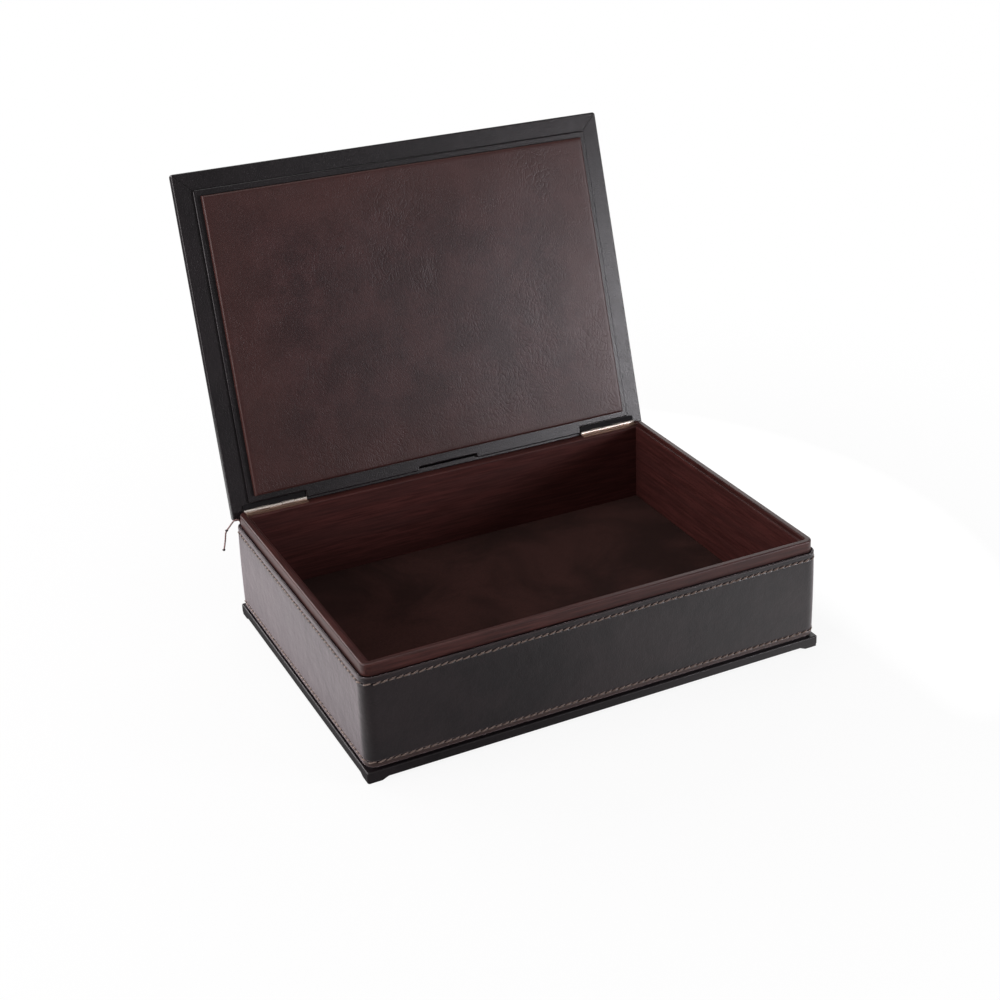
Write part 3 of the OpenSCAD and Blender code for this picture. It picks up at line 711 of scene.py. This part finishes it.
# %% Step plate surface
STEP_R = 0.95 * MM
STEP_REAR, STEP_FRONT = 0.2 * MM, 231.2 * MM
HINGE_CUT_X, HINGE_CUT_S = 112.6 * MM, 5.3 * MM
MIDDLE_CUT_X, MIDDLE_CUT_S = 23.7 * MM, 3.2 * MM
STEP_FOOT = 0.12 * MM
# Corner radii in millimetres, from the middle cut round to the front corner.
STEP_CORNER_R = (1.0, 1.0, 1.2, 0.6, 1.5, 1.5)


def make_step():
    """Ring v lies inset(v) inside the outline at height n(v): up the side, then a quarter
    turn of the edge's radius. The top is one face inside the last ring, whose edges are
    marked sharp, so that the shading of the rounding doesn't run into the flat top."""
    step_low, step_high = low_high("step_leather")
    end_x = (step_high[0] - step_low[0]) / 2
    half = [(MIDDLE_CUT_X, MIDDLE_CUT_S), (MIDDLE_CUT_X, STEP_REAR), (HINGE_CUT_X, STEP_REAR),
            (HINGE_CUT_X, HINGE_CUT_S), (end_x, HINGE_CUT_S), (end_x, STEP_FRONT)]
    corners = half + [(-x, s) for x, s in half[::-1]]
    ring, out = rounded_outline(corners, np.array(STEP_CORNER_R + STEP_CORNER_R[::-1]) * MM)
    turn = np.linspace(0, np.pi / 2, 7)
    inset = np.concatenate([[STEP_FOOT], STEP_R * (1 - np.cos(turn))])
    height = np.concatenate([[SKIN_GAP], STEP_T - STEP_R + STEP_R * np.sin(turn)])
    place = ring[None] - inset[:, None, None] * out[None]
    points = on_lid(place[..., 0], place[..., 1], height[:, None])
    sides = grid_faces(len(inset), len(ring), close_columns=True).tolist()
    last = (len(inset) - 1) * len(ring)
    top = list(range(last, last + len(ring)))
    piece = add_mesh("step_plate", points, sides + [top], flat=[-1])
    ends = np.empty(2 * len(piece.data.edges), np.int32)
    piece.data.edges.foreach_get("vertices", ends)
    piece.data.edges.foreach_set("use_edge_sharp", (ends.reshape(-1, 2) >= last).all(axis=1))
    return piece


step = make_step()
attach(step, "lid")
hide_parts("step_leather")
print("step faces:", len(step.data.polygons))
print("its top faces forwards:", [round(c, 2) for c in step.data.polygons[-1].normal])

# %% [markdown]
# ## Leather
# Both leathers are smooth, waxed hides. What one sees is a soft broad sheen, a fine
# pore grain, faint cloudy patches where the dye took unevenly, and shallow creases.
# A scan of a hide would need a picture. The recipe mixes two close tones by slow
# noise instead, and stacks creases on top of dents and pores on top of creases.

# %% Leather recipe
def leather(name, dark, light, rough, gloss=0.4, bloom=0.0, tint=(1, 1, 1), dents=0.3, folds=0.1,
            grain=0.06, cloud=16, wear_and_highlight=None, wear_and_highlight_colour=(0.036, 0.018, 0.015), painted_shade=None):
    """Colour = dark to light by cloudy noise; height = soft dents + fine folds + pores.
    gloss is the strength of the mirror-like part, bloom that of the waxy dust seen at a low
    angle; dents, folds and grain are heights in millimetres. The last three arguments give
    the share of rubbed colour, which on the pad's thin edge is a painted highlight, the
    colour for it, and the share of painted shade, where the colour goes near black and the
    gloss drops."""
    r = Recipe(name)
    clouds = r.math("MULTIPLY", r.ramp(r.noise(cloud, 5, 0.65), 0.36, 0.66), 0.55)
    specks = r.math("MULTIPLY", r.ramp(r.noise(700, 4, 0.7), 0.35, 0.7), 0.45)
    colour = r.mix(r.math("ADD", clouds, specks), dark, light)
    # The share of rubbed colour; on the pad's thin edge this is a painted highlight.
    if wear_and_highlight:
        colour = r.mix(wear_and_highlight(r), colour, wear_and_highlight_colour)
    soft = r.noise(75, 3, 0.55)
    lines = r.stretched((1.0, 0.38, 0.6), turn=(0.5, 0.35, 0.7))
    fold = r.ramp(r.cells(330, r.warped(lines, 55, 0.02), "DISTANCE_TO_EDGE"), 0.0, 0.18)
    patchy = r.ramp(r.noise(24, 5, 0.75), 0.34, 0.72)
    fold = r.mix(patchy, (1, 1, 1), fold)
    pores = r.ramp(r.cells(1000, r.warped(r.place, 300, 0.001)), 0.0, 0.6)
    normal = r.bump(soft, dents * MM, 0.6)
    normal = r.bump(fold, folds * MM, 0.4, normal)
    normal = r.bump(pores, grain * MM, 0.8, normal)
    roughness = r.ramp(r.noise(60, 5, 0.7), 0.25, 0.75, rough - 0.02, rough + 0.03)
    # Painted shade: where the share is full the colour goes near black and the gloss drops.
    if painted_shade:
        share = painted_shade(r)
        colour = r.mix(share, colour, (0.002, 0.0015, 0.0018))
        gloss = r.ramp(share, 0, 0.8, gloss, 0.0)
    return r.finish(colour, roughness, normal, Specular_IOR_Level=gloss, Sheen_Weight=bloom,
                    Sheen_Roughness=0.35, Sheen_Tint=tint)


BLACK_TONES = (0.0055, 0.0040, 0.0048), (0.0140, 0.0100, 0.0115)
black_leather = leather("waxed_black_leather", *BLACK_TONES, 0.30, gloss=0.4, folds=0.02, dents=0.02)
print("made", black_leather.name)

# %% [markdown]
# ## Where the leather is rubbed or shaded
# Hands rub the colour off the band's edges. The pad's thin edge gets a lighter colour as a
# painted highlight, and the cover in the step plate's notch and the stitch holes go near
# black as painted shade. These places could be painted by hand on an unwrapped surface.
# Here each is a share between nought and one, worked out from the place on the box or the
# lid, so it follows the sizes.

# %% Rubbed and shaded places
def along_lid(r, turn=0.0):
    """Distance from the hinge axis, measured along the open lid; with a quarter turn more,
    square to it, from the inside towards the outside."""
    y = r.math("SUBTRACT", r.part("Y"), float(hinge_at[1]))
    z = r.math("SUBTRACT", r.part("Z"), float(hinge_at[2]))
    back = r.math("MULTIPLY", y, -math.cos(open_turn + turn))
    return r.math("ADD", back, r.math("MULTIPLY", z, math.sin(open_turn + turn)))


def pad_edges(r):
    """Share of lighter, redder brown: strong on the pad's edge itself as a painted highlight, then fading
    over six centimetres as a redder tone.
    """
    s = along_lid(r)
    side = r.math("SUBTRACT", PAD_HALF_X, r.math("ABSOLUTE", r.part("X")))
    end = r.math("MINIMUM", r.math("SUBTRACT", s, PAD_S[0]), r.math("SUBTRACT", PAD_S[1], s))
    inward = r.math("MINIMUM", side, end)
    edge = r.ramp(inward, 0.5 * MM, 1.6 * MM, 0.8, 0.0)
    return r.math("MAXIMUM", edge, r.ramp(inward, 3 * MM, 60 * MM, 0.4, 0.0))


def notch_shadow(r):
    """Share of painted shade: full on the cover in the step plate's rear notch, below the plate's edge."""
    side = r.ramp(r.math("ABSOLUTE", r.part("X")), 22.6 * MM, 23.8 * MM, 1.0, 0.0)
    s = along_lid(r)
    deep = r.math("MULTIPLY", r.ramp(s, 1.3 * MM, 2.1 * MM), r.ramp(s, 6 * MM, 9 * MM, 1.0, 0.0))
    inside = r.ramp(along_lid(r, math.pi / 2), AXIS_TO_LID + 0.5 * MM, AXIS_TO_LID + 1.5 * MM, 1.0, 0.0)
    return r.math("MULTIPLY", r.math("MULTIPLY", side, deep), inside)


def band_edges(r):
    """Share of rubbed brown: full at the band's lower edge, a quarter at its top edge."""
    z = r.part("Z")
    low = r.ramp(z, band_low[2] + 3.0 * MM, band_low[2] + 4.6 * MM, 1.0, 0.0)
    top = r.ramp(z, band_high[2] - 1.6 * MM, band_high[2] - 0.4 * MM, 0.0, 0.25)
    return r.math("MAXIMUM", low, top)


def stitch_holes(r):
    """The band's own attribute, one at each hole of the two stitch rows, where the colour is darkened as
    painted shade.
    """
    node = r.add("ShaderNodeAttribute")
    node.attribute_name = "hole"
    return node.outputs["Fac"]


print("rubbed or shaded:", [f.__name__ for f in (pad_edges, notch_shadow, band_edges, stitch_holes)])

# %% The other leathers
cover_leather = leather("waxed_cover_leather", *BLACK_TONES, 0.30, gloss=0.4, folds=0.05, dents=0.09,
                        painted_shade=notch_shadow)
band_leather = leather("waxed_band_leather", (0.0045, 0.0034, 0.0040), (0.0180, 0.0118, 0.0125), 0.38,
                       gloss=0.5, bloom=0.8, tint=(1, 0.85, 0.91), dents=0.85, folds=0.06, cloud=22,
                       wear_and_highlight=band_edges, painted_shade=stitch_holes)
brown_leather = leather("waxed_brown_leather", (0.0222, 0.0085, 0.0088), (0.053, 0.0212, 0.0208), 0.36,
                        gloss=0.29, dents=0.06, folds=0.13, grain=0.05, cloud=34,
                        wear_and_highlight=pad_edges, wear_and_highlight_colour=(0.058, 0.0205, 0.0165))
paint("lid_cover", cover_leather)
for name in ("plinth_leather", "foot_front_left", "foot_front_right",
             "foot_back_left", "foot_back_right"):
    paint(name, black_leather)
paint(step, black_leather)
paint(band, band_leather)
paint(pad, brown_leather)
print("leathers:", cover_leather.name, band_leather.name, brown_leather.name)

# %% [markdown]
# ## Stained wood
# The walls are stained nearly black-brown and rubbed to a satin finish, with long
# fine grain running along each wall. Rings round a trunk would be truer for broad
# boards, but on narrow edges only straight streaks show. The grain is noise
# stretched along the wall's own direction, so front and side walls share a recipe.

# %% Wood recipe
def wood(name, along, dark, light, rough, gloss, painted_shade_below=None):
    """Colour = fine streaks stretched along one axis; height = the same streaks, very low.
    Below a height it is nearly black, as painted shade in the corner just above the leather band."""
    r = Recipe(name)
    line = r.stretched({"x": (0.05, 1, 1), "y": (1, 0.05, 1)}[along])
    streaks = r.ramp(r.noise(700, 4, 0.65, line), 0.3, 0.7)
    bands = r.ramp(r.noise(120, 3, 0.6, line, warp=0.4), 0.35, 0.7)
    colour = r.mix(streaks, dark, light)
    colour = r.mix(r.math("MULTIPLY", bands, 0.5), colour, dark)
    # Painted shade in the corner just above the leather band's top edge.
    if painted_shade_below:
        corner = r.ramp(r.part("Z"), painted_shade_below - 0.2 * MM, painted_shade_below + 0.8 * MM, 0.9, 0.0)
        colour = r.mix(corner, colour, (0.002, 0.001, 0.001))
    normal = r.bump(streaks, 0.03 * MM, 0.5)
    return r.finish(colour, r.ramp(bands, 0, 1, rough, rough + 0.1), normal, Specular_IOR_Level=gloss)


RIM_TONES = (0.027, 0.0064, 0.0052), (0.068, 0.0190, 0.0155)
INSIDE_TONES = (0.036, 0.0095, 0.0082), (0.078, 0.0225, 0.0198)
rim_x = wood("stained_rim_long", "x", *RIM_TONES, 0.36, 0.42, band_high[2])
rim_y = wood("stained_rim_short", "y", *RIM_TONES, 0.36, 0.42, band_high[2])
inside_x = wood("stained_lining_long", "x", *INSIDE_TONES, 0.42, 0.22)
inside_y = wood("stained_lining_short", "y", *INSIDE_TONES, 0.42, 0.22)
print("wood finishes:", rim_x.name, rim_y.name, inside_x.name, inside_y.name)

# %% Stain the wooden parts
WOODEN = {
    rim_x: ("front_wall", "back_wall", "bottom_board", "plinth_board"),
    rim_y: ("left_wall", "right_wall"),
    inside_x: ("front_liner", "back_liner"),
    inside_y: ("left_liner", "right_liner"),
}
for finish, names in WOODEN.items():
    for name in names:
        paint(name, finish)
print("wooden parts:", sum(len(names) for names in WOODEN.values()))

# %% [markdown]
# ## Hinge metal
# The hinges are bright steel with fine drawing marks. Only the knuckles stay bright: the
# box's leaf is let into the wood and is a rougher, tan-tinted steel, and the lid's leaf is
# near black, as painted shade in the step plate's cut-out round it. Two materials on one
# packed part would need its faces chosen by hand, so one recipe tells knuckle from leaf by
# the distance from the hinge axis.

# %% Hinge steel
STEEL = (0.86, 0.77, 0.70)
KNUCKLE_EDGE = (1.3 * MM, 1.5 * MM)


def hinge_metal(name, leaf_colour, leaf_shine, leaf_rough):
    """Polished steel knuckles, told from their leaf by the distance from the hinge axis;
    fine drawn lines along the hinge vary the roughness."""
    r = Recipe(name)
    lines = r.ramp(r.noise(900, 3, 0.6, r.stretched((0.04, 1, 1))), 0.3, 0.7)
    from_axis = r.distance(r.stretched((0, 1, 1)), (0, hinge_at[1], hinge_at[2]))
    leaf = r.ramp(from_axis, *KNUCKLE_EDGE)
    colour = r.mix(leaf, STEEL, leaf_colour)
    metallic = r.ramp(leaf, 0, 1, 1.0, leaf_shine)
    roughness = r.math("ADD", r.ramp(lines, 0, 1, 0.36, 0.40), r.math("MULTIPLY", leaf, leaf_rough))
    return r.finish(colour, roughness, Metallic=metallic, Specular_IOR_Level=0.2)


metal = hinge_metal("bright_hinge_metal", (0.30, 0.19, 0.14), 1.0, 0.1)
# On the lid the leaf is near black, as painted shade in the step plate's hinge cut-out.
black_metal = hinge_metal("hinge_metal_in_painted_shade", (0.006, 0.005, 0.006), 0.0, 0.4)
hinge_parts = [name for name in frame["nodes"] if name.startswith("hinge")]
for name in hinge_parts:
    paint(name, black_metal if "lid" in name else metal)
print("hinge parts:", len(hinge_parts))

# %% [markdown]
# ## Thread, lining and hidden materials
# The stitches are tan linen, the loose thread is waxed and nearly black at its
# knots, and the floor of the box is a brown lining whose nap is brushed this way
# and that. Hair strands would be slow and too fine to see, so each is tangled noise
# with a low bump. Card, felt and foam hardly show, and get the same recipe.

# %% Fibres
def fibrous(name, dark, light, rough=0.85, scale=900, gloss=0.5, fuzz=0.0, nap=0.0):
    """Short tangled fibres: noise from dark to light, with a low bump; fuzz catches light at the
    edges, and nap is the strength of slow patches, as brushed this way and that."""
    r = Recipe(name)
    fibres = r.ramp(r.noise(scale, 5, 0.7, warp=1.2), 0.3, 0.7)
    colour = r.mix(fibres, dark, light)
    patches = r.ramp(r.noise(13, 5, 0.62, warp=0.6), 0.38, 0.66)
    colour = r.mix(r.math("MULTIPLY", patches, nap), colour, dark)
    return r.finish(colour, rough, r.bump(fibres, 0.08 * MM, 0.5), Specular_IOR_Level=gloss,
                    Sheen_Weight=fuzz, Sheen_Roughness=0.4, Sheen_Tint=(1, 0.85, 0.75))


tan_thread = fibrous("tan_linen_thread", (0.066, 0.043, 0.034), (0.21, 0.148, 0.120), 0.75, 2500, fuzz=1.0)
dark_thread = fibrous("waxed_thread", (0.06, 0.03, 0.03), (0.34, 0.20, 0.19), 0.6, 400)
dark_knot = fibrous("waxed_knot", (0.010, 0.008, 0.010), (0.035, 0.022, 0.024), 0.6, 2500)
grey_card = fibrous("grey_card", (0.20, 0.18, 0.16), (0.30, 0.27, 0.24))
felt = fibrous("black_felt", (0.012, 0.011, 0.013), (0.035, 0.032, 0.036), 0.95)
foam = fibrous("pale_foam", (0.50, 0.46, 0.36), (0.62, 0.58, 0.48))
lining = fibrous("brown_lining", (0.016, 0.0054, 0.0046), (0.062, 0.0230, 0.0195), 0.8, 1400,
                 gloss=0.08, fuzz=0.08, nap=0.9)
for name in ("floor_card", "lid_board", "lid_infill", "step_card", "pad_card"):
    paint(name, grey_card)
paint("base_felt", felt)
paint("pad_foam", foam)
paint("floor_lining", lining)
paint(top_stitches, tan_thread)
paint(low_stitches, tan_thread)
paint(thread, dark_thread)
paint(knots, dark_knot)
print("materials in all:", len(bpy.data.materials))

# %% [markdown]
# ## Floor and backdrop
# The box stands on white paper in a bright white room. More light would make the
# paper white, but would bleach the leather too. Instead the floor and the world show
# as plain white to the camera, while the floor keeps part of its own shading, so
# that the box still casts a faint soft shadow. The leather mirrors the paper beside
# it, bright on the left and on the right and dim in front, so the floor has a level
# of its own in mirrors.

# %% Floor
FLOOR_HALF = 6.0
# Where the mirrored paper changes its level: x or y, from and to, in metres.
LEFT_OF_BOX = (-0.19, -0.165)
BESIDE_BOX = (-0.22, -0.1)
TO_THE_RIGHT = (-0.12, 0.27)


def white_floor():
    """Floor = a share of plain white for the camera, growing to all of it away from the box,
    the rest lit white paper. In mirrors it glows by its place: full left of the box, dim in
    front of it, growing again towards the right, and fading with the distance."""
    r = Recipe("white_paper")
    r.finish((0.9, 0.9, 0.9), 0.9)
    paths = r.add("ShaderNodeLightPath").outputs
    far = r.distance(r.place)
    left = r.math("MULTIPLY", r.ramp(r.part("X"), *LEFT_OF_BOX, 1.0, 0.0),
                  r.ramp(r.part("Y"), *BESIDE_BOX, 0.15, 1.0))
    beside = r.math("MAXIMUM", left, r.ramp(r.part("X"), *TO_THE_RIGHT, 0.17, 1.1))
    mirrored = r.math("MULTIPLY", beside, r.ramp(far, 0.33, 0.6, 1.0, 0.1))
    level = r.math("MAXIMUM", paths["Is Camera Ray"], mirrored)
    glow = r.add("ShaderNodeEmission", Color=(1, 1, 1), Strength=level)
    share = r.math("MULTIPLY", paths["Is Camera Ray"], r.ramp(far, 0.2, 0.7, 0.9, 1.0))
    join = r.tree.nodes.new("ShaderNodeMixShader")
    r.give(join.inputs[0], r.math("MAXIMUM", share, paths["Is Glossy Ray"]))
    r.give(join.inputs[1], r.shader.outputs[0])
    r.give(join.inputs[2], glow.outputs[0])
    out = next(n for n in r.tree.nodes if n.type == "OUTPUT_MATERIAL")
    r.give(out.inputs["Surface"], join.outputs[0])
    return r.material


corners = np.array([(-1, -1, 0), (1, -1, 0), (1, 1, 0), (-1, 1, 0)]) * FLOOR_HALF
floor = add_mesh("studio_floor", corners, [[0, 1, 2, 3]], flat=[0])
paint(floor, white_floor())
print("floor", 2 * FLOOR_HALF, "m wide")

# %% World
ROOM_LEVEL = 0.16
ROOM_IN_MIRRORS = 0.1


def white_world(level, in_mirrors):
    """White to the camera; as light a plain soft dome of the given level, and a little more
    in mirrors, so that polished metal still shows the room."""
    world = bpy.data.worlds.new("white_room")
    bpy.context.scene.world = world
    world.use_nodes = True
    tree = world.node_tree
    back = next(n for n in tree.nodes if n.type == "BACKGROUND")
    paths = tree.nodes.new("ShaderNodeLightPath").outputs
    mirrored = tree.nodes.new("ShaderNodeMath")
    mirrored.operation = "MULTIPLY"
    tree.links.new(paths["Is Glossy Ray"], mirrored.inputs[0])
    mirrored.inputs[1].default_value = in_mirrors
    seen = tree.nodes.new("ShaderNodeMath")
    seen.operation = "MAXIMUM"
    tree.links.new(paths["Is Camera Ray"], seen.inputs[0])
    tree.links.new(mirrored.outputs[0], seen.inputs[1])
    strength = tree.nodes.new("ShaderNodeMapRange")
    tree.links.new(seen.outputs[0], strength.inputs["Value"])
    strength.inputs["To Min"].default_value = level
    strength.inputs["To Max"].default_value = 1.0
    tree.links.new(strength.outputs["Result"], back.inputs["Strength"])
    back.inputs["Color"].default_value = (1, 1, 1, 1)
    return world


world = white_world(ROOM_LEVEL, ROOM_IN_MIRRORS)
print("world:", world.name)

# %% [markdown]
# ## Lamps
# Black leather shows its shape by what it mirrors, so the light is a few large soft
# boxes and no bare bulb. The strongest stands to the left like a window. One behind
# on the left draws the pale edge of the lid and the rim, one behind on the right
# lights the hinges, a weak one hangs above, and a low one in front on the right
# opens the shadows on the pad.

# %% Softboxes
def softbox(name, at, to, wide, high, watts, colour=(1, 1, 1)):
    """A rectangular area lamp at one point, aimed at another."""
    data = bpy.data.lights.new(name, "AREA")
    data.shape = "RECTANGLE"
    data.size, data.size_y = wide, high
    data.energy = watts
    data.color = colour
    lamp = bpy.data.objects.new(name, data)
    bpy.context.collection.objects.link(lamp)
    lamp.location = at
    lamp.rotation_euler = (Vector(to) - Vector(at)).to_track_quat("-Z", "Y").to_euler()
    return lamp


WARM, COOL = (1, 0.95, 0.97), (0.98, 0.95, 1)
lamps = [
    softbox("left_window", (-1.55, -0.1, 0.6), (0, 0, 0.1), 1.3, 1.0, 21, WARM),
    softbox("back_left", (-0.9, 1.2, 0.7), (-0.15, 0, 0.0), 1.2, 0.6, 12, WARM),
    softbox("back_right", (1.0, 1.36, 0.83), (0.15, 0, 0.05), 1.2, 0.9, 5),
    softbox("overhead", (-0.1, 0.2, 1.8), (0, 0, 0), 1.4, 1.2, 9),
    softbox("right_front", (1.18, -1.16, 0.32), (0.1, 0.1, 0.2), 0.7, 0.3, 16, COOL),
]
print("light in all:", sum(lamp.data.energy for lamp in lamps), "watts")

# %% [markdown]
# ## View settings and finish
# The standard view keeps colours as they are written.

# %% Finish
bpy.context.scene.view_settings.view_transform = "Standard"
